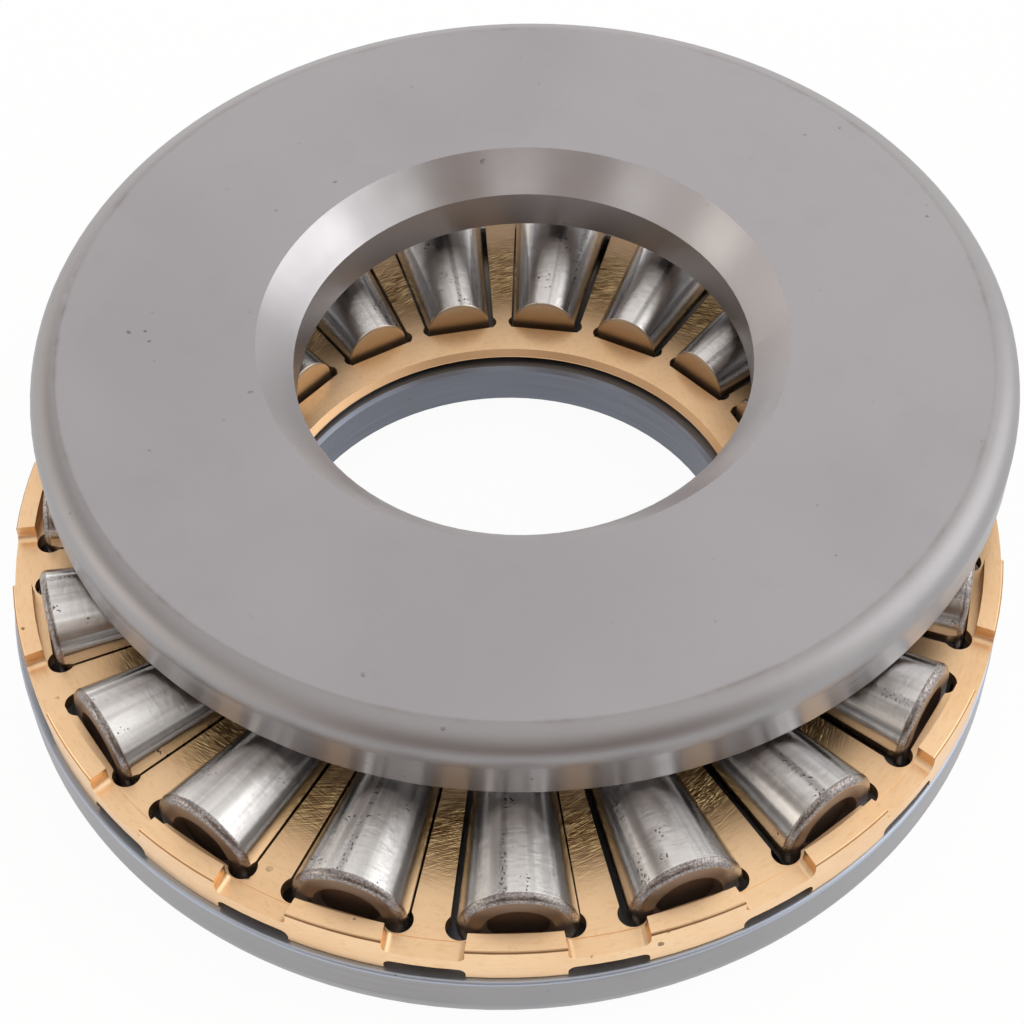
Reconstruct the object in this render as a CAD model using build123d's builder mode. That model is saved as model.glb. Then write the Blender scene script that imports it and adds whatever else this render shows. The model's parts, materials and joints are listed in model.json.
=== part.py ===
from build123d import *
from math import cos, radians, sin
import os

os.makedirs("parts", exist_ok=True)

# Tapered roller thrust bearing, separable: lower race, brass cage, nineteen rollers, upper race.
# Origin at the middle of the lower race's bore wall, Z along the lower race's axis.
# The upper race is off its seat: it lies on the rollers, slid back and a little tilted.

# Envelope of the closed bearing
bore_diameter = 76.2
outside_diameter = 161.92
closed_height = 33.34

# Rollers: cones that share one apex on the bearing axis
roller_count = 19
taper_slope = 0.12
roller_big_round = 1.2
roller_small_round = 0.4
roller_dish_diameter = 10.8
roller_dish_depth = 1.2
roller_dish_slant = 0.9

# Races: both are the same ring
bore_chamfer_width = 5.65
bore_chamfer_height = 5.9
back_corner_round = 5.0
rim_land_height = 11.0
rim_top_round = 0.6
rib_wall = 4.76
rib_face_gap = 1.0
rib_inner_chamfer = 0.5
undercut_width = 1.2
undercut_depth = 0.4
lip_wall = 6.7
lip_height = 13.55
lip_face_gap = 1.0
lip_edge_chamfer = 0.6
raceway_gap = 0.3

# Cage
cage_rim_inset = 0.71
cage_bore_clearance = 0.7
cage_bore_chamfer = 0.9
cage_underside_chamfer = 1.2
cage_rest_gap = 0.3
rim_wall = 3.05
block_height = 7.5
upper_notch_depth = 2.7
lower_notch_depth = 2.35
notch_width = 11.9
notch_step = 0.12
web_thickness = 2.3
notch_fillet = 1.2
block_edge_chamfer = 0.35
pocket_side_gap = 0.55
pocket_outer_gap = 0.45
pocket_inner_gap = 1.0
outer_relief_radius = 2.2
outer_relief_proud = 0.6
outer_relief_reach = 1.0
inner_relief_radius = 1.4
inner_relief_proud = 0.5

# Cage and rollers as they lie: off the lower race's axis by part of their play,
# turned about it, and the cage trailing its rollers
cage_shift = 0.5
roller_turn = 0.1
cage_lag = 0.27

# Upper race as it lies: how far it is shifted from its seat, its lean about X,
# and how high its rim stands over the rollers' large ends at its axis
upper_shift_x = 4.0
upper_shift_y = 22.9
upper_lean = 1.43
upper_rise = 1.356

bore_radius = bore_diameter / 2
rim_radius = outside_diameter / 2
mid_height = closed_height / 2
pitch_angle = 360 / roller_count
first_angle = roller_turn - 90
rib_face_radius = rim_radius - rib_wall
rib_top_height = rim_land_height + rim_top_round
roller_outer_reach = rib_face_radius - rib_face_gap
lip_face_radius = bore_radius + lip_wall
roller_inner_reach = lip_face_radius + lip_face_gap
back_face_height = -(bore_chamfer_height + lip_height - lip_edge_chamfer) / 2
roller_axis_height = back_face_height + mid_height


def raceway_height(radius):
    """Height of the raceway above the race's own back face."""
    return mid_height - raceway_gap - taper_slope * radius


def make_race(place):
    """One race, back face on the given plane, raceway towards the plane's normal."""
    section = Plane(origin=place.origin, x_dir=place.x_dir, z_dir=-place.y_dir)
    with BuildPart() as race:
        with BuildSketch(section):
            with BuildLine():
                back_inner = (bore_radius + bore_chamfer_width, 0)
                back_outer = (rim_radius - back_corner_round, 0)
                Line(back_inner, back_outer)
                RadiusArc(back_outer, (rim_radius, back_corner_round), -back_corner_round)
                Line((rim_radius, back_corner_round), (rim_radius, rim_land_height))
                RadiusArc(
                    (rim_radius, rim_land_height),
                    (rim_radius - rim_top_round, rib_top_height),
                    -rim_top_round,
                )
                root_height = raceway_height(rib_face_radius)
                Polyline(
                    (rim_radius - rim_top_round, rib_top_height),
                    (rib_face_radius + rib_inner_chamfer, rib_top_height),
                    (rib_face_radius, rib_top_height - rib_inner_chamfer),
                    (rib_face_radius, root_height - undercut_depth),
                    (rib_face_radius - undercut_width, root_height - undercut_depth),
                    (rib_face_radius - undercut_width, raceway_height(rib_face_radius - undercut_width)),
                    (lip_face_radius, raceway_height(lip_face_radius)),
                    (lip_face_radius, lip_height - lip_edge_chamfer),
                    (lip_face_radius - lip_edge_chamfer, lip_height),
                    (bore_radius + lip_edge_chamfer, lip_height),
                    (bore_radius, lip_height - lip_edge_chamfer),
                    (bore_radius, bore_chamfer_height),
                    back_inner,
                )
            make_face()
        revolve(axis=Axis(place.origin, place.z_dir))
    return race


lower_race = make_race(Plane.XY.offset(back_face_height))
lower_race.part.label = "lower_race"
export_step(lower_race.part, "parts/lower_race.step")

large_end_top = roller_axis_height + taper_slope * roller_outer_reach
upper_seat = Plane(
    origin=(upper_shift_x, upper_shift_y, large_end_top + rib_top_height + upper_rise),
    x_dir=(1, 0, 0),
    z_dir=(0, sin(radians(upper_lean)), -cos(radians(upper_lean))),
)
upper_race = make_race(upper_seat)
upper_race.part.label = "upper_race"
export_step(upper_race.part, "parts/upper_race.step")


# Cage: a turned ring with a raised rim, then milled and drilled
cage_bore_radius = bore_radius + cage_bore_clearance
cage_rim_radius = rim_radius - cage_rim_inset
step_radius = cage_rim_radius - rim_wall
cage_base = Plane((cage_shift, 0, 0))
cage_angle = first_angle - cage_lag
block_bottom = back_face_height + rib_top_height + cage_rest_gap
block_top = block_bottom + block_height
web_top = block_top - upper_notch_depth + notch_step
web_bottom = web_top - web_thickness
window_inner = roller_inner_reach - pocket_inner_gap
window_outer = roller_outer_reach + pocket_outer_gap


def window_half_width(radius):
    """Half the width of a cage window, at a distance from the bearing axis."""
    return taper_slope * radius + pocket_side_gap


def mill_cut(floor_height, up):
    """The metal that the cutter takes out of the rim for one notch, above or below its floor."""
    slot = Plane(origin=(step_radius - rim_wall, 0, floor_height), x_dir=(0, up, 0), z_dir=(1, 0, 0))
    with BuildPart() as cut:
        with BuildSketch(slot) as profile:
            Rectangle(notch_width, block_height, align=(Align.CENTER, Align.MIN))
            fillet(profile.vertices().sort_by(Axis.Y)[:2], notch_fillet)
        extrude(amount=3 * rim_wall)
    return cut.part


def bore_edges(ring):
    """The two edges of a ring's bore, from the lower to the upper."""
    circles = ring.edges().filter_by(lambda edge: edge.geom_type == GeomType.CIRCLE)
    return circles.sort_by(SortBy.RADIUS)[:2].sort_by(Axis.Z)


upper_cut = mill_cut(block_top - upper_notch_depth, 1)
lower_cut = mill_cut(block_bottom + lower_notch_depth, -1)

with BuildPart(cage_base) as cage:
    # Raised rim, broken along its outer edges
    with BuildSketch(cage_base.offset(block_bottom)):
        Circle(cage_rim_radius)
        Circle(step_radius, mode=Mode.SUBTRACT)
    extrude(amount=block_height)
    outer_edges = cage.edges().filter_by(lambda edge: edge.geom_type == GeomType.CIRCLE)
    chamfer(outer_edges.sort_by(SortBy.RADIUS)[-2:], block_edge_chamfer)
    # Notches milled across the rim from both faces, half way between two windows
    with PolarLocations(0, roller_count, start_angle=cage_angle + pitch_angle / 2):
        add(upper_cut, mode=Mode.SUBTRACT)
        add(lower_cut, mode=Mode.SUBTRACT)
    # Web inside the rim, chamfered at the bore
    with BuildSketch(cage_base.offset(web_bottom)):
        Circle(step_radius)
        Circle(cage_bore_radius, mode=Mode.SUBTRACT)
    extrude(amount=web_thickness)
    chamfer(bore_edges(cage)[-1], cage_bore_chamfer)
    chamfer(bore_edges(cage)[0], cage_underside_chamfer)
    # Windows, wider outwards like the rollers, with a drilled relief in each corner
    with BuildSketch(cage_base.offset(web_bottom)):
        with PolarLocations(0, roller_count, start_angle=cage_angle):
            Polygon(
                (window_inner, -window_half_width(window_inner)),
                (window_outer, -window_half_width(window_outer)),
                (window_outer, window_half_width(window_outer)),
                (window_inner, window_half_width(window_inner)),
                align=None,
            )
            outer_relief = window_outer + outer_relief_reach - outer_relief_radius
            outer_side = window_half_width(outer_relief) + outer_relief_proud - outer_relief_radius
            with Locations((outer_relief, outer_side), (outer_relief, -outer_side)):
                Circle(outer_relief_radius)
            inner_relief = window_inner + inner_relief_radius
            inner_side = window_half_width(inner_relief) + inner_relief_proud - inner_relief_radius
            with Locations((inner_relief, inner_side), (inner_relief, -inner_side)):
                Circle(inner_relief_radius)
    extrude(amount=web_thickness, mode=Mode.SUBTRACT)

cage.part.label = "cage"
export_step(cage.part, "parts/cage.step")


# Rollers, one in each window, each on its own axis through the cage's centre
def make_roller(angle):
    """One tapered roller with its axis along the given direction, in degrees from +X."""
    outward = Vector(cos(radians(angle)), sin(radians(angle)), 0)
    centre = Vector(cage_shift, 0, roller_axis_height)
    dish_radius = roller_dish_diameter / 2
    dish_floor = roller_outer_reach - roller_dish_depth
    with BuildPart() as roller:
        with BuildSketch(Plane(origin=centre, x_dir=outward, z_dir=outward.cross(Vector(0, 0, 1)))) as half:
            with BuildLine():
                Polyline(
                    (roller_inner_reach, 0),
                    (roller_inner_reach, taper_slope * roller_inner_reach),
                    (roller_outer_reach, taper_slope * roller_outer_reach),
                    (roller_outer_reach, dish_radius),
                    (dish_floor, dish_radius - roller_dish_slant),
                    (dish_floor, 0),
                    close=True,
                )
            make_face()
            corners = half.vertices().sort_by(Axis.Y)
            fillet(corners[-1], roller_big_round)
            fillet(half.vertices().sort_by(SortBy.DISTANCE)[1], roller_small_round)
        revolve(axis=Axis(centre, outward))
    return roller


for index in range(roller_count):
    roller = make_roller(first_angle + index * pitch_angle)
    roller_name = f"roller_{index + 1:02d}"
    roller.part.label = roller_name
    export_step(roller.part, f"parts/{roller_name}.step")
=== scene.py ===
# %% [markdown]
# A tapered roller thrust bearing, dressed for its portrait.
# The bearing is already built to size: two steel races, nineteen tapered rollers and a brass cage.
# This lesson gives each of them the surface that its last machine left on it, and lights them in a
# small studio tent. Metal is mostly a mirror of what stands around it, so the tent matters as much
# as the finishes. All lengths are in metres, in the bearing's own frame.

# %% Load the bearing
import json
from math import degrees, pi, radians, sin

import bpy
from mathutils import Matrix, Vector


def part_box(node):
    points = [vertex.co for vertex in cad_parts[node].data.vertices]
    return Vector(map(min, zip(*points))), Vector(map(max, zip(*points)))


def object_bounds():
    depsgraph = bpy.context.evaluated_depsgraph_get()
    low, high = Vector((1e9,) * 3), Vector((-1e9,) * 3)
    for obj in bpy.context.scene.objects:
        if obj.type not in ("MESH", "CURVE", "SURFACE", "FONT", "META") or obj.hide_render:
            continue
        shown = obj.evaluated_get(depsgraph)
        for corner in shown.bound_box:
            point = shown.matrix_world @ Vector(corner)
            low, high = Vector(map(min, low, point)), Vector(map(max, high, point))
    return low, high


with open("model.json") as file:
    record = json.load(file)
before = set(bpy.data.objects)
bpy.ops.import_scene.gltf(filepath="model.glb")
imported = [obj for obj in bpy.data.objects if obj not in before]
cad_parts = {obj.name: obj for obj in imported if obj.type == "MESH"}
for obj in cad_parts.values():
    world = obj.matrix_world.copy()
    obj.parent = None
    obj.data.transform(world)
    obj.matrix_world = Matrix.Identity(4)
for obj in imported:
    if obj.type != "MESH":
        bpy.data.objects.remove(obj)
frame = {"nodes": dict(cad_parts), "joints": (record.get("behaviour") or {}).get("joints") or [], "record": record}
cad_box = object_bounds()
nodes = frame["nodes"]
joints = {joint["name"]: joint for joint in frame["joints"]}
MM = 0.001
print(len(nodes), "nodes from", tuple(round(v, 4) for v in cad_box[0]), "to",
      tuple(round(v, 4) for v in cad_box[1]))

# %% [markdown]
# Where the turned surfaces lie.
# Every finish here follows the lathe, the grinder or the mill that made it, so a finish has to know
# the axis of its piece. The joints of the frame say where those axes are, and the boxes and mounts
# of the pieces give the outer sizes. The few widths and depths below are read off the races'
# section, which is the same for both races. Depths are measured from the back face inwards.

# %% Axes and the races' section
UPPER_CENTRE = Vector(joints["upper_race_spin"]["pos_m"])
UPPER_AXIS = Vector(joints["upper_race_spin"]["axis"])
LOWER_CENTRE = Vector((0, 0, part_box("lower_race")[0].z))
CAGE_CENTRE = Vector(joints["cage_spin"]["pos_m"])
RIM_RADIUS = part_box("lower_race")[1].x
mounts = {mount["name"]: mount for mount in frame["record"]["mounts"]}
BORE_RADIUS = mounts["lower_bore"]["dims"]["r_mm"] * MM
CORNER_ROUND = 5.0 * MM
LAND_END = 11.0 * MM
CHAMFER_WIDTH = 5.65 * MM
CHAMFER_DEPTH = 5.9 * MM
LIP_EDGE = 12.9 * MM
rollers = sorted(name for name in nodes if name.startswith("roller_"))
PITCH = 2 * pi / len(rollers)
print("rim", round(RIM_RADIUS / MM, 2), "mm, bore", round(BORE_RADIUS / MM, 2), "mm,",
      len(rollers), "rollers")
print("lower race's back face at", round(LOWER_CENTRE.z / MM, 3), "mm")

# %% [markdown]
# Shader maths that reads like maths.
# A material is a small programme made of nodes. Wiring each Math node by hand hides what it works
# out, so one class wraps the output of a node and lets + - * / and ** add the nodes. A second
# class holds the material and has one method that adds any other node: its settings go in first,
# then the values or links of its sockets.

# %% The Signal class
class Signal:
    """A number that a node gives out. Arithmetic on it adds the Math nodes that it means."""

    def __init__(self, finish, socket):
        self.finish = finish
        self.socket = socket

    def math(self, operation, first, second):
        """One Math node."""
        return self.finish.node("ShaderNodeMath", {"operation": operation}, {0: first, 1: second})

    def __add__(self, other):
        return self.math("ADD", self, other)

    def __radd__(self, other):
        return self.math("ADD", other, self)

    def __sub__(self, other):
        return self.math("SUBTRACT", self, other)

    def __rsub__(self, other):
        return self.math("SUBTRACT", other, self)

    def __mul__(self, other):
        return self.math("MULTIPLY", self, other)

    def __rmul__(self, other):
        return self.math("MULTIPLY", other, self)

    def __truediv__(self, other):
        return self.math("DIVIDE", self, other)

    def __pow__(self, other):
        return self.math("POWER", self, other)


# %% The Finish class
class Finish:
    """A material or a world, with the few kinds of node that these finishes are made of."""

    def __init__(self, name, world=False):
        self.holder = bpy.data.worlds.new(name) if world else bpy.data.materials.new(name)
        self.holder.use_nodes = True
        self.tree = self.holder.node_tree
        self.tree.nodes.clear()
        self.kind = "ShaderNodeOutputWorld" if world else "ShaderNodeOutputMaterial"

    def node(self, kind, settings=None, sockets=None, out=0):
        """Any node, with its settings, and a number or a Signal for each socket given."""
        made = self.tree.nodes.new(kind)
        for name, value in (settings or {}).items():
            setattr(made, name, value)
        for key, value in (sockets or {}).items():
            if isinstance(value, Signal):
                self.tree.links.new(value.socket, made.inputs[key])
            else:
                made.inputs[key].default_value = value
        return Signal(self, made.outputs[out])

    def show(self, surface):
        """Join the shader to the output, which finishes the material or the world."""
        end = self.tree.nodes.new(self.kind)
        self.tree.links.new(surface.socket, end.inputs["Surface"])
        return self.holder

    def ramp(self, value, low, high):
        """0 below low, 1 above high, with a soft turn at both ends. Swapped limits make it fall."""
        settings = {"interpolation_type": "SMOOTHSTEP"}
        return self.node("ShaderNodeMapRange", settings, {0: value, 1: low, 2: high, 3: 0.0, 4: 1.0})

    def size(self, value):
        """The value without its sign."""
        return self.node("ShaderNodeMath", {"operation": "ABSOLUTE"}, {0: value})

    def larger(self, first, second):
        """The larger of two values."""
        return self.node("ShaderNodeMath", {"operation": "MAXIMUM"}, {0: first, 1: second})

    def band(self, value, low, high, soft):
        """1 between low and high and 0 elsewhere. Each end is blurred by soft, inwards and outwards."""
        half = (high - low) / 2
        return self.ramp(self.size(value - (low + high) / 2), half + soft, half - soft)

    def mix(self, first, second, share):
        """A colour: first where share is 0, second where it is 1."""
        settings = {"data_type": "RGBA", "clamp_factor": True}
        return self.node("ShaderNodeMix", settings, {0: share, 6: first, 7: second}, out=2)

    def direction(self, east, north):
        """The angle of a direction given by two of its parts, in radians."""
        return self.node("ShaderNodeMath", {"operation": "ARCTAN2"}, {0: north, 1: east})

    def place(self):
        """The point being shaded, in the bearing's frame at rest."""
        return self.node("ShaderNodeTexCoord", out="Object")

    def dot(self, vector, direction):
        """How far a vector reaches along a fixed direction."""
        settings = {"operation": "DOT_PRODUCT"}
        return self.node("ShaderNodeVectorMath", settings, {0: vector, 1: tuple(direction)}, out="Value")

    def join(self, x, y, z):
        """A vector made of three numbers."""
        return self.node("ShaderNodeCombineXYZ", None, {0: x, 1: y, 2: z})

    def noise(self, vector, scale=1.0, detail=2.0, rough=0.5, seed=0.0):
        """Cloudy noise around one half. Seed shifts it to another part of the pattern."""
        shift = (seed, seed, seed)
        moved = self.node("ShaderNodeVectorMath", {"operation": "ADD"}, {0: vector, 1: shift})
        sockets = {"Vector": moved, "Scale": scale, "Detail": detail, "Roughness": rough}
        return self.node("ShaderNodeTexNoise", None, sockets)

    def scatter(self, vector, seed):
        """Numbers scattered round one half with no two points alike, most of them near it."""
        settings = {"noise_dimensions": "4D"}
        first = self.node("ShaderNodeTexWhiteNoise", settings, {"Vector": vector, "W": seed})
        second = self.node("ShaderNodeTexWhiteNoise", settings, {"Vector": vector, "W": seed + 1})
        return (first + second) * 0.5

    def dots(self, vector, scale, level, seed):
        """1 on small spots and 0 between them: the peaks of a plain noise above a level."""
        return self.ramp(self.noise(vector, scale, detail=0.0, seed=seed), level, level + 0.04)

    def leaned(self, axis, amount):
        """The surface normal, leant along an axis of the piece by a varying amount."""
        settings = {"vector_type": "VECTOR", "convert_from": "OBJECT", "convert_to": "WORLD"}
        axis = self.node("ShaderNodeVectorTransform", settings, {0: tuple(axis)})
        push = self.node("ShaderNodeVectorMath", {"operation": "SCALE"}, {0: axis, "Scale": amount})
        flat = self.node("ShaderNodeNewGeometry", out="Normal")
        total = self.node("ShaderNodeVectorMath", {"operation": "ADD"}, {0: flat, 1: push})
        return self.node("ShaderNodeVectorMath", {"operation": "NORMALIZE"}, {0: total})

    def bump(self, height, distance, strength, under=None):
        """The normal of a surface with a fine relief, laid over another normal if one is given."""
        sockets = {"Height": height, "Distance": distance, "Strength": strength}
        if under is not None:
            sockets["Normal"] = under
        return self.node("ShaderNodeBump", None, sockets)

    def metal(self, colour, roughness, normal, **constants):
        """Bare metal. What is the same all over, such as anisotropy, is a plain number."""
        sockets = {"Base Color": colour, "Roughness": roughness, "Normal": normal, "Metallic": 1.0}
        sockets.update({name.replace("_", " "): value for name, value in constants.items()})
        return self.node("ShaderNodeBsdfPrincipled", None, sockets)


print("arithmetic on a Signal adds Math nodes, and Finish.node adds any other")

# %% [markdown]
# Coordinates that follow the lathe.
# Noise drawn in plain x, y and z looks like cast stone. Turned and ground metal has marks that run
# round its axis, so the noise is drawn in radius, depth and direction instead. The direction is
# given as a point on the unit circle and not as an angle, because an angle jumps from 180 to -180
# degrees, and the jump would show as a seam.

# %% Ring coordinates
class RingPlace:
    """Where a point lies on a ring: its radius, its depth below the back face and its direction."""

    def __init__(self, finish, centre, inwards):
        inwards = Vector(inwards).normalized()
        side = Vector((1, 0, 0))
        side = (side - side.dot(inwards) * inwards).normalized()
        other = inwards.cross(side)
        point = finish.place()
        across = finish.dot(point, side) - side.dot(centre)
        along = finish.dot(point, other) - other.dot(centre)
        self.point = point
        self.depth = finish.dot(point, inwards) - inwards.dot(centre)
        self.radius = (across * across + along * along) ** 0.5
        self.east = across / self.radius
        self.north = along / self.radius

    def turned(self, finish, per_metre, sweep):
        """A vector whose noise is long round the ring and fine across it."""
        lathe_feed = (self.radius + self.depth) * per_metre
        return finish.join(lathe_feed, self.east * sweep, self.north * sweep)


print("upper race faces", tuple(round(v, 3) for v in UPPER_AXIS))

# %% [markdown]
# The races.
# A race of this size is turned, hardened and then ground. The back face has the even, satin grey of
# a surface grinder with a little staining on it, a darker brown band where the rounding starts, and
# a nick here and there. The rim is ground on its round land, and the chamfer and the wall of the bore
# are turned. Marks that run round a ring spread its reflections along the axis, so the rollers show in
# the land as soft upright bands. That is what anisotropy does, and a Mix Shader joins it to the
# evenly ground part. Both races get the same finish, in greys of their own. The lower race's greys
# carry a painted blue reflection of bluish light, and its rim edge a painted light-blue highlight.

# %% Race steel
EDGE = 0.1 * MM
STAIN_BROWN = (0.23, 0.19, 0.17, 1)
NICK_DARK = (0.10, 0.09, 0.085, 1)
# face, rim, chamfer, bore wall, rim edge, lip edge
UPPER_TONES = [(0.41, 0.398, 0.418, 1), (0.36, 0.35, 0.36, 1), (0.53, 0.515, 0.53, 1),
               (0.28, 0.26, 0.26, 1), (0.40, 0.385, 0.39, 1), (0.30, 0.28, 0.28, 1)]
# The lower race's blue tint is a painted reflection of bluish light, and its light-blue rim edge is a painted
# highlight.
LOWER_TONES_BLUE_SHEEN = [(0.30, 0.31, 0.34, 1), (0.36, 0.355, 0.365, 1), (0.30, 0.31, 0.34, 1),
               (0.18, 0.19, 0.225, 1), (0.46, 0.51, 0.60, 1), (0.24, 0.26, 0.31, 1)]


def race_steel(name, centre, inwards, tones, seed):
    """Steel of one race: which surface a point lies on, then its stains and marks, then its gloss."""
    steel = Finish(name)
    ring = RingPlace(steel, centre, inwards)

    # The surfaces of the section
    round_start = RIM_RADIUS - CORNER_ROUND
    outer = steel.ramp(ring.radius, round_start - EDGE, round_start + 3 * EDGE)
    land = steel.band(ring.depth, CORNER_ROUND, LAND_END, 1.2 * EDGE) * outer
    chamfer_start = BORE_RADIUS + CHAMFER_WIDTH
    bored = 1 - steel.ramp(ring.radius, chamfer_start - EDGE / 2, chamfer_start)
    wall = bored * steel.ramp(ring.depth, CHAMFER_DEPTH - EDGE / 2, CHAMFER_DEPTH + EDGE / 2)
    rim_edge = outer * steel.ramp(ring.depth, LAND_END, LAND_END + EDGE)
    lip_edge = bored * steel.ramp(ring.depth, LIP_EDGE, LIP_EDGE + EDGE)
    shoulder = steel.band(ring.radius, round_start, round_start + 5 * EDGE, 5 * EDGE)
    shoulder = shoulder * (1 - steel.ramp(ring.depth, 5 * EDGE, 10 * EDGE))

    # The marks on them
    cloud = steel.noise(ring.point, 22.0, rough=0.55, seed=seed)
    stain = steel.ramp(steel.noise(ring.point, 90.0, 3.0, 0.7, seed + 3), 0.5, 0.7)
    grain = steel.noise(ring.point, 2600.0, detail=0.0, seed=seed)
    turned = steel.noise(ring.turned(steel, 6000.0, 2.0), detail=0.0, seed=seed)
    banded = steel.noise(ring.turned(steel, 900.0, 1.5), rough=0.6, seed=seed + 5)
    handled = steel.ramp(steel.noise(ring.point, 150.0, detail=1.0, seed=seed + 9), 0.6, 0.7)
    nicks = steel.dots(ring.point, 700.0, 0.79, seed) * handled

    # Colour: the tone of each surface, then what lies on it
    colour = tones[0]
    for tone, where in zip(tones[1:], (outer, bored, wall, rim_edge, lip_edge)):
        colour = steel.mix(colour, tone, where)
    dark = tuple(part * 0.86 for part in tones[0][:3]) + (1.0,)
    colour = steel.mix(colour, dark, steel.ramp(cloud, 0.42, 0.7) * (1 - wall) * 0.4)
    # Brown stains, and a darker brown band where the rounding starts.
    colour = steel.mix(colour, STAIN_BROWN, stain * (0.05 + shoulder * 0.4) + shoulder * 0.10)
    colour = steel.mix(colour, dark, bored * (1 - wall) * steel.ramp(banded, 0.5, 0.75) * 0.6)
    colour = steel.mix(colour, NICK_DARK, nicks * 0.6)

    # Gloss: evenly ground on the faces, drawn out across the turning marks on the land and the bore
    normal = steel.bump(grain * 0.5 + turned * (0.4 + bored), 0.012 * MM, 0.5)
    ground = steel.metal(colour, 0.43 + (cloud - 0.5) * 0.12, normal)
    drawn = steel.metal(colour, 0.36 + (turned - 0.5) * 0.2, normal,
                        Anisotropic=0.85, Anisotropic_Rotation=0.25)
    share = steel.larger(bored, land)
    return steel.show(steel.node("ShaderNodeMixShader", None, {0: share, 1: ground, 2: drawn}))


upper_steel = race_steel("upper_race_steel", UPPER_CENTRE, -UPPER_AXIS, UPPER_TONES, 1.0)
lower_steel = race_steel("lower_race_steel", LOWER_CENTRE, (0, 0, 1), LOWER_TONES_BLUE_SHEEN, 7.0)
nodes["upper_race"].material_slots[0].material = upper_steel
nodes["lower_race"].material_slots[0].material = lower_steel
print("race steels:", upper_steel.name, lower_steel.name)

# %% [markdown]
# The cage.
# The cage is turned from brass, then milled, and the inner half of its face is dressed with
# abrasive. The dressing leaves scratches across each web, all about one way but crossing here and
# there, some dark and some bright, the bright ones as painted glints. That inner half is also
# darkened with painted shade, which stands for the raised race's dark underside mirrored in it.
# Each web has its own number, which shifts its noise. The bore, the rim and its blocks keep the
# plain turned brass, with a few brown specks, and painted shade darkens the blocks' top outer
# chamfer and the bore chamfer.

# %% Cage brass
CAGE_RIM = 80.25 * MM
CAGE_BORE = 38.8 * MM
BORE_CHAMFER = 0.9 * MM
BLOCK_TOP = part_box("cage")[1].z - CAGE_CENTRE.z
BLOCK_CHAMFER = 0.35 * MM
DRESSED_FROM = 47.0 * MM
DRESSED_FULL = 58.0 * MM
FADING_FROM = 59.0 * MM
DRESSED_TO = 71.0 * MM
BRASS = (0.97, 0.68, 0.41, 1)
BRASS_CLOUD = (0.92, 0.61, 0.34, 1)
BRASS_GRAIN = (0.74, 0.43, 0.18, 1)
SHADED_GOLD = (0.38, 0.225, 0.075, 1)
SCRATCH_DARK = (0.20, 0.10, 0.03, 1)
SCRATCH_GLINT = (1.0, 0.75, 0.36, 1)
BLOCK_EDGE_SHADE = (0.34, 0.19, 0.09, 1)
BORE_EDGE_SHADE = (0.60, 0.37, 0.20, 1)
SPECK_BROWN = (0.16, 0.09, 0.04, 1)
first_outward = Vector(joints[f"{rollers[0]}_roll"]["axis"])
first_angle = first_outward.to_2d().angle_signed(Vector((1, 0)))


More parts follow.
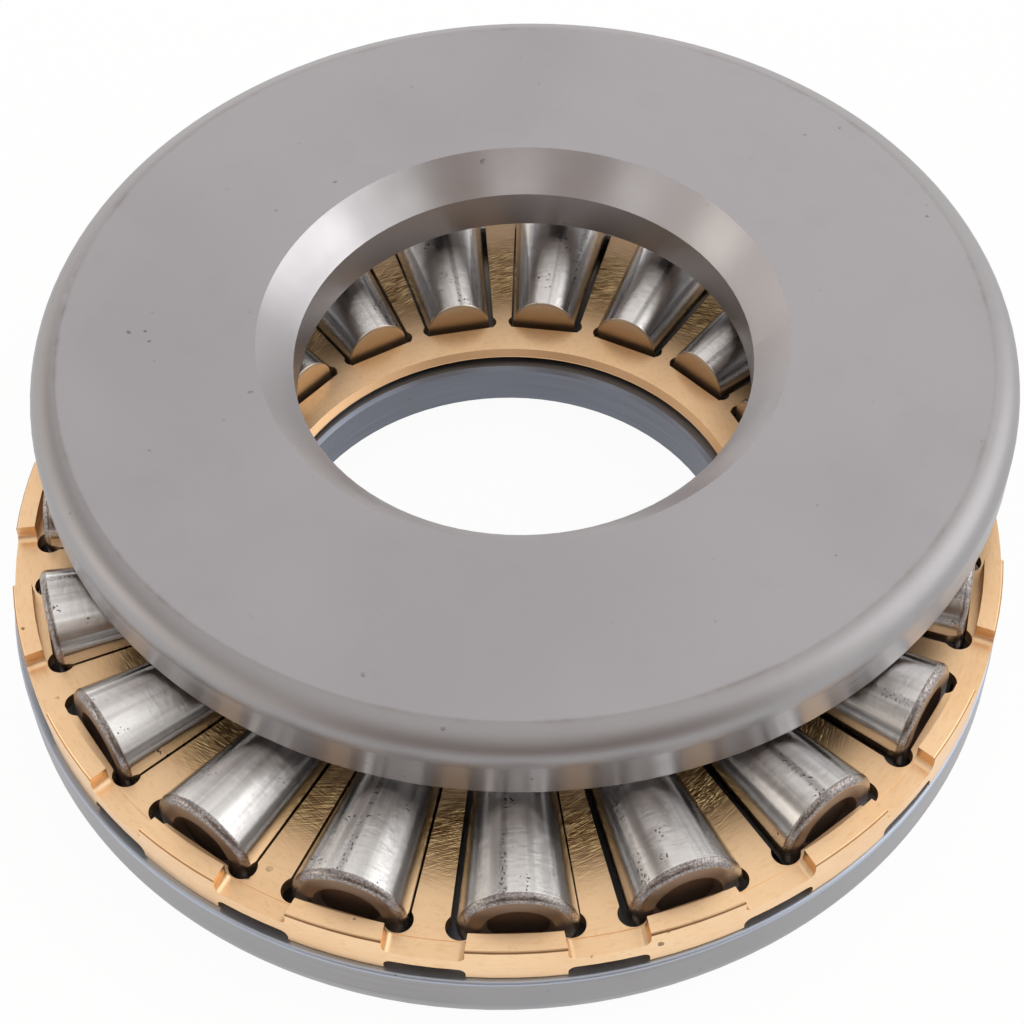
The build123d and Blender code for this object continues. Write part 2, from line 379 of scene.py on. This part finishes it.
def cage_brass():
    """Brass of the cage: plain, with scratches across the inner half of each web, and painted shade and glints."""
    brass = Finish("cage_brass_dressed")
    ring = RingPlace(brass, CAGE_CENTRE, (0, 0, 1))

    # Which web a point lies on, and how far to the side of the web's middle
    turns = (brass.direction(ring.east, ring.north) - first_angle) / PITCH
    web = brass.node("ShaderNodeMath", {"operation": "FLOOR"}, {0: turns})
    sideways = (turns - web - 0.5) * PITCH * ring.radius

    # Scratches: noise that is long across the web and fine along it, bent a little on each web
    lean = brass.noise(brass.join(web * 3.7, ring.radius * 60.0, 0.0), detail=1.0)
    bent = ring.radius + sideways * (lean - 0.5) * 1.2 + sideways * sideways * 25.0
    crossing = ring.radius + sideways * (0.9 - lean)
    fine = brass.noise(brass.join(bent * 5200.0, sideways * 260.0, web * 7.0), 1.0, 1.0, 0.65)
    slanted = brass.join(crossing * 4200.0, sideways * 300.0, web * 5.0 + 31.0)
    crossed = brass.noise(slanted, 1.0, 1.0, 0.6)
    dressed = brass.ramp(ring.radius, DRESSED_FROM, DRESSED_FULL)
    dressed = dressed * (1 - brass.ramp(ring.radius, FADING_FROM, DRESSED_TO))
    patch = brass.ramp(brass.noise(ring.point, 110.0, detail=1.0, seed=8.0), 0.40, 0.60)

    # The plain turned brass, its specks, and painted shade on two chamfers
    plain = brass.noise(ring.turned(brass, 1600.0, 40.0), 1.0, 2.0, 0.7, 6.0)
    cloud = brass.noise(ring.point, 60.0, 2.0, 0.6, 2.0)
    spotted = brass.ramp(brass.noise(ring.point, 90.0, detail=1.0, seed=5.0), 0.58, 0.66)
    speck = brass.dots(ring.point, 600.0, 0.78, 4.0) * spotted
    chamfer_shade = brass.ramp(ring.radius, CAGE_RIM - BLOCK_CHAMFER * 0.7, CAGE_RIM - BLOCK_CHAMFER * 0.6)
    chamfer_shade = chamfer_shade * brass.ramp(ring.depth, BLOCK_TOP - BLOCK_CHAMFER, BLOCK_TOP - BLOCK_CHAMFER * 0.9)
    bore_shade = 1 - brass.ramp(ring.radius, CAGE_BORE + BORE_CHAMFER * 0.95, CAGE_BORE + BORE_CHAMFER)

    colour = brass.mix(BRASS, BRASS_CLOUD, brass.ramp(cloud, 0.4, 0.75) * 0.7)
    colour = brass.mix(colour, BRASS_GRAIN, brass.ramp(plain, 0.48, 0.70) * 0.25)
    # Painted shade over the dressed half, standing for the raised race's dark underside mirrored in it.
    colour = brass.mix(colour, SHADED_GOLD, dressed * 0.65)
    dark_share = brass.ramp(fine, 0.45, 0.54) * dressed * (0.55 + patch * 0.45)
    colour = brass.mix(colour, SCRATCH_DARK, dark_share)
    # Painted glints on the bright scratches.
    colour = brass.mix(colour, SCRATCH_GLINT, brass.ramp(crossed, 0.54, 0.61) * dressed)
    # Painted shade on the blocks' top outer chamfer.
    colour = brass.mix(colour, BLOCK_EDGE_SHADE, chamfer_shade * 0.9)
    # Painted shade on the bore chamfer.
    colour = brass.mix(colour, BORE_EDGE_SHADE, bore_shade * 0.8)
    colour = brass.mix(colour, SPECK_BROWN, speck * 0.8)
    normal = brass.bump((fine * 3.0 + crossed * 5.0) * dressed, 0.03 * MM, 0.8)
    return brass.show(brass.metal(colour, 0.40 - dressed * 0.1 + (cloud - 0.5) * 0.15, normal))


nodes["cage"].material_slots[0].material = cage_brass()
print("cage brass on", nodes["cage"].name, "with", len(rollers), "webs")

# %% [markdown]
# The rollers.
# Rollers are the best finished part of a bearing. They are ground and polished between rolls, which
# leaves marks round them that are too fine to see. Each mark is a tiny slope along the roller, so
# together they smear its reflections lengthwise into straight stripes. Here the normal is leant
# along the roller's own axis by noise that is finer than a pixel, which does the same. Handling
# leaves fine dull specks, most of them in a row. The rounding at the large end stays rough from
# tumbling, the end faces are only fine-turned, and the recess in the large one is still brown from
# hardening.
# Grey streaks along the body are painted reflection, its darker flanks are painted shade, and the small end's
# brown gold is a painted reflection of the cage's brass.

# %% Roller steel
ROLLER_REACH = 75.2 * MM
ROLLER_FOOT = 45.8 * MM
ROLLER_ROUND = 1.2 * MM
ROLLER_TAPER = 0.12
DISH_RADIUS = 5.4 * MM
DISH_FROM = 70.0 * MM
DISH_TO = 71.0 * MM
SMEAR = 0.6
HAIR = 0.18
POLISHED = (0.76, 0.745, 0.73, 1)
STREAK_REFLECTION_GREY = (0.40, 0.39, 0.385, 1)
FLANK_SHADE = (0.30, 0.29, 0.285, 1)
ROW_GREY = (0.28, 0.27, 0.27, 1)
TUMBLED = (0.20, 0.17, 0.16, 1)
END_GREY = (0.34, 0.30, 0.28, 1)
DISH_BROWN = (0.30, 0.22, 0.17, 1)
SMALL_END_BRASS_REFLECTION = (0.44, 0.34, 0.24, 1)
SPECK_GREY = (0.14, 0.13, 0.13, 1)
HAIR_WIDTH = 0.001 * MM


def roller_steel(name, outward, seed):
    """Steel of one roller, given the direction of its axis. Seed makes each roller's marks its own."""
    steel = Finish(name)
    outward = Vector(outward).normalized()
    side = Vector((0, 0, 1)).cross(outward)

    # Reach along the axis from the bearing's middle, then radius and direction round the axis.
    # A hair's width keeps the division safe on the axis itself.
    point = steel.place()
    reach = steel.dot(point, outward) - outward.dot(CAGE_CENTRE)
    across = steel.dot(point, side) - side.dot(CAGE_CENTRE)
    above = steel.dot(point, (0, 0, 1)) - CAGE_CENTRE.z
    radius = (across * across + above * above) ** 0.5
    east = across / (radius + HAIR_WIDTH)
    north = above / (radius + HAIR_WIDTH)

    # The surfaces of the roller
    end_radius = ROLLER_TAPER * ROLLER_REACH
    large_end = steel.ramp(reach, ROLLER_REACH - ROLLER_ROUND * 1.1, ROLLER_REACH - ROLLER_ROUND * 0.9)
    rounded = steel.ramp(radius, end_radius - ROLLER_ROUND * 1.15, end_radius - ROLLER_ROUND * 0.95)
    rounding = large_end * rounded
    end_face = large_end * (1 - rounded)
    dish = 1 - steel.ramp(radius, DISH_RADIUS - EDGE, DISH_RADIUS)
    dish = dish * steel.ramp(reach, DISH_FROM, DISH_TO)
    small_end = 1 - steel.ramp(reach, ROLLER_FOOT + EDGE, ROLLER_FOOT + 4 * EDGE)
    body = (1 - steel.larger(large_end, dish)) * (1 - small_end)

    # The marks on them
    ground = steel.scatter(point, seed)
    hairs = steel.noise(steel.join(reach * 2500.0, east * 4.0, north * 4.0), 1.0, 1.0, 0.6, seed + 2)
    streak_reflection = steel.noise(steel.join(reach * 8.0, east * 4.0, north * 4.0), 1.0, 2.0, 0.55, seed + 4)
    skin = steel.noise(point, 3200.0, 1.0, 0.7, seed)
    row_place = -0.40 + 0.3 * sin(seed * 2.3)
    row = steel.band(east, row_place - 0.06, row_place + 0.06, 0.04)
    in_row = row * steel.ramp(steel.noise(point, 160.0, 1.0, 0.6, seed), 0.36, 0.46)
    stray = steel.ramp(steel.noise(point, 260.0, detail=1.0, seed=seed + 5), 0.64, 0.70)
    specks = steel.dots(point, 2600.0, 0.64, seed) * (in_row + stray)

    # Painted reflection: grey streaks along the body.
    colour = steel.mix(POLISHED, STREAK_REFLECTION_GREY, steel.ramp(streak_reflection, 0.46, 0.64) * 0.4)
    # Painted shade on both flanks of the body.
    colour = steel.mix(colour, FLANK_SHADE, steel.band(steel.size(east), 0.72, 0.90, 0.08) * 0.6)
    colour = steel.mix(colour, ROW_GREY, row * 0.6)
    colour = steel.mix(colour, TUMBLED, rounding * (0.6 + 0.4 * steel.ramp(skin, 0.35, 0.65)))
    colour = steel.mix(colour, END_GREY, end_face)
    colour = steel.mix(colour, DISH_BROWN, dish)
    # Painted reflection: the small end's brown gold stands for the cage's brass mirrored in it.
    colour = steel.mix(colour, SMALL_END_BRASS_REFLECTION, small_end)
    colour = steel.mix(colour, SPECK_GREY, specks * body)
    smeared = steel.leaned(outward, ((ground - 0.5) * SMEAR + (hairs - 0.5) * HAIR) * body)
    normal = steel.bump(skin * (rounding * 3 + end_face), 0.006 * MM, 0.6, smeared)
    roughness = 0.10 + rounding * 0.2 + (end_face + dish + small_end) * 0.34 + specks * 0.2
    return steel.show(steel.metal(colour, roughness, normal))


for number, roller in enumerate(rollers):
    axis = joints[f"{roller}_roll"]["axis"]
    nodes[roller].material_slots[0].material = roller_steel(f"{roller}_steel", axis, 3.0 + number * 1.7)
print(len(rollers), "roller steels")

# %% [markdown]
# The light tent.
# Polished rollers show the whole studio, so the studio is drawn with care: a pale cloth tent that is
# brightest low on its far side, a tall soft box on the right with a hot middle, a low warm one on
# the left with a narrow strip light in it and a dim cloth above it. Dark gaps lie low behind the
# camera and on either side of it. It is all one world shader. Each panel is a patch in azimuth and
# elevation with soft edges, and a later one covers those before it. Azimuth 0 is straight ahead of
# the camera, and right is positive.

# %% World
TENT = (0.92, 0.885, 0.86, 1)
PANELS = [
    # azimuth from, to, elevation from, to, softness in degrees, colour
    (-75, 75, -10, 30, 12, (1.42, 1.38, 1.36, 1)),
    (22, 138, -4, 62, 12, (1.12, 1.10, 1.07, 1)),
    (-136, -34, -4, 25, 5, (1.15, 1.06, 0.97, 1)),
    (-100, -80, 0, 30, 3, (1.90, 1.78, 1.62, 1)),
    (-118, -33, 30, 49, 5, (0.34, 0.30, 0.27, 1)),
    (58, 106, 6, 56, 6, (2.05, 2.03, 2.02, 1)),
]
GAPS = [
    # the same, for the angle away from straight ahead, so there is one on either side
    (139, 166, -10, 53, 5, (0.23, 0.15, 0.10, 1)),
    (160, 190, -10, 30, 6, (0.28, 0.20, 0.16, 1)),
]


def light_tent():
    """The world: the tent's cloth, its panels and its gaps, and plain white for the camera."""
    tent = Finish("light_tent", world=True)
    direction = tent.node("ShaderNodeTexCoord", out="Generated")
    right = tent.dot(direction, (1, 0, 0))
    ahead = tent.dot(direction, (0, 1, 0))
    up = tent.dot(direction, (0, 0, 1))
    azimuth = tent.direction(ahead, right) * degrees(1)
    elevation = tent.node("ShaderNodeMath", {"operation": "ARCSINE"}, {0: up}) * degrees(1)
    colour = TENT
    for bearing, panels in ((azimuth, PANELS), (tent.size(azimuth), GAPS)):
        for first, last, low, high, soft, shade in panels:
            patch = tent.band(bearing, first, last, soft) * tent.band(elevation, low, high, soft)
            colour = tent.mix(colour, shade, patch)
    seen = tent.node("ShaderNodeLightPath", out="Is Camera Ray")
    cloth = tent.node("ShaderNodeBackground", None, {"Color": colour, "Strength": 1.0})
    white = tent.node("ShaderNodeBackground", None, {"Color": (1, 1, 1, 1), "Strength": 1.0})
    return tent.show(tent.node("ShaderNodeMixShader", None, {0: seen, 1: cloth, 2: white}))


bpy.context.scene.world = light_tent()
print("tent with", len(PANELS), "panels and", len(GAPS), "pairs of dark gaps")

# %% [markdown]
# The floor.
# The bearing lies on a sheet of white paper. Seen by the camera, or mirrored in the metal, the paper
# is almost wholly its own white, and a small share of it is real lit paper, which keeps the shadow.

# %% Floor
FLOOR_HALF = 4.0
FLOOR_GAP = 0.02 * MM
PAPER_SHARE = 0.05
PAPER_WHITE = (0.97, 0.97, 0.97, 1)


def paper():
    """White paper: glowing white to the camera and the metal, but for the share that takes shadow."""
    sheet = Finish("white_paper")
    rays = [sheet.node("ShaderNodeLightPath", out=ray)
            for ray in ("Is Camera Ray", "Is Glossy Ray", "Is Transmission Ray")]
    seen = sheet.node("ShaderNodeMath", {"operation": "MINIMUM"}, {0: rays[0] + rays[1] + rays[2], 1: 1.0})
    lit = sheet.node("ShaderNodeBsdfDiffuse", None, {"Color": PAPER_WHITE})
    glow = sheet.node("ShaderNodeEmission", None, {"Color": (1, 1, 1, 1), "Strength": 1.0})
    share = seen * (1 - PAPER_SHARE)
    return sheet.show(sheet.node("ShaderNodeMixShader", None, {0: share, 1: lit, 2: glow}))


mesh = bpy.data.meshes.new("floor")
FLOOR_HEIGHT = cad_box[0].z - FLOOR_GAP
corners = [(-FLOOR_HALF, -FLOOR_HALF, FLOOR_HEIGHT), (FLOOR_HALF, -FLOOR_HALF, FLOOR_HEIGHT),
           (FLOOR_HALF, FLOOR_HALF, FLOOR_HEIGHT), (-FLOOR_HALF, FLOOR_HALF, FLOOR_HEIGHT)]
mesh.from_pydata(corners, [], [(0, 1, 2, 3)])
mesh.materials.append(paper())
floor = bpy.data.objects.new("floor", mesh)
bpy.context.scene.collection.objects.link(floor)
print("floor at", round(FLOOR_HEIGHT / MM, 3), "mm")

# %% [markdown]
# The camera.
# The picture is taken from about fifty degrees above the floor, from the front, with a long lens and
# the camera a touch off level. The numbers come from matching the ellipses of the rims and bores.

# %% Camera
CAMERA_PLACE = LOWER_CENTRE + Vector((0.00139, -0.22528, 0.28908))
CAMERA_ELEVATION = 50.122
CAMERA_ROLL = 1.612
NEAREST_SEEN = 0.01
LENS_MM = 75.55
SENSOR_MM = 36.0

camera = bpy.data.objects.new("camera", bpy.data.cameras.new("camera"))
camera.data.lens = LENS_MM
camera.data.sensor_width = SENSOR_MM
camera.data.clip_start = NEAREST_SEEN
tip = Matrix.Rotation(radians(90 - CAMERA_ELEVATION), 4, "X")
roll = Matrix.Rotation(-radians(CAMERA_ROLL), 4, "Z")
camera.matrix_world = Matrix.Translation(CAMERA_PLACE) @ tip @ roll
bpy.context.scene.collection.objects.link(camera)
bpy.context.scene.camera = camera
bpy.context.scene.view_settings.view_transform = "Standard"
print("camera at", tuple(round(v, 4) for v in CAMERA_PLACE))
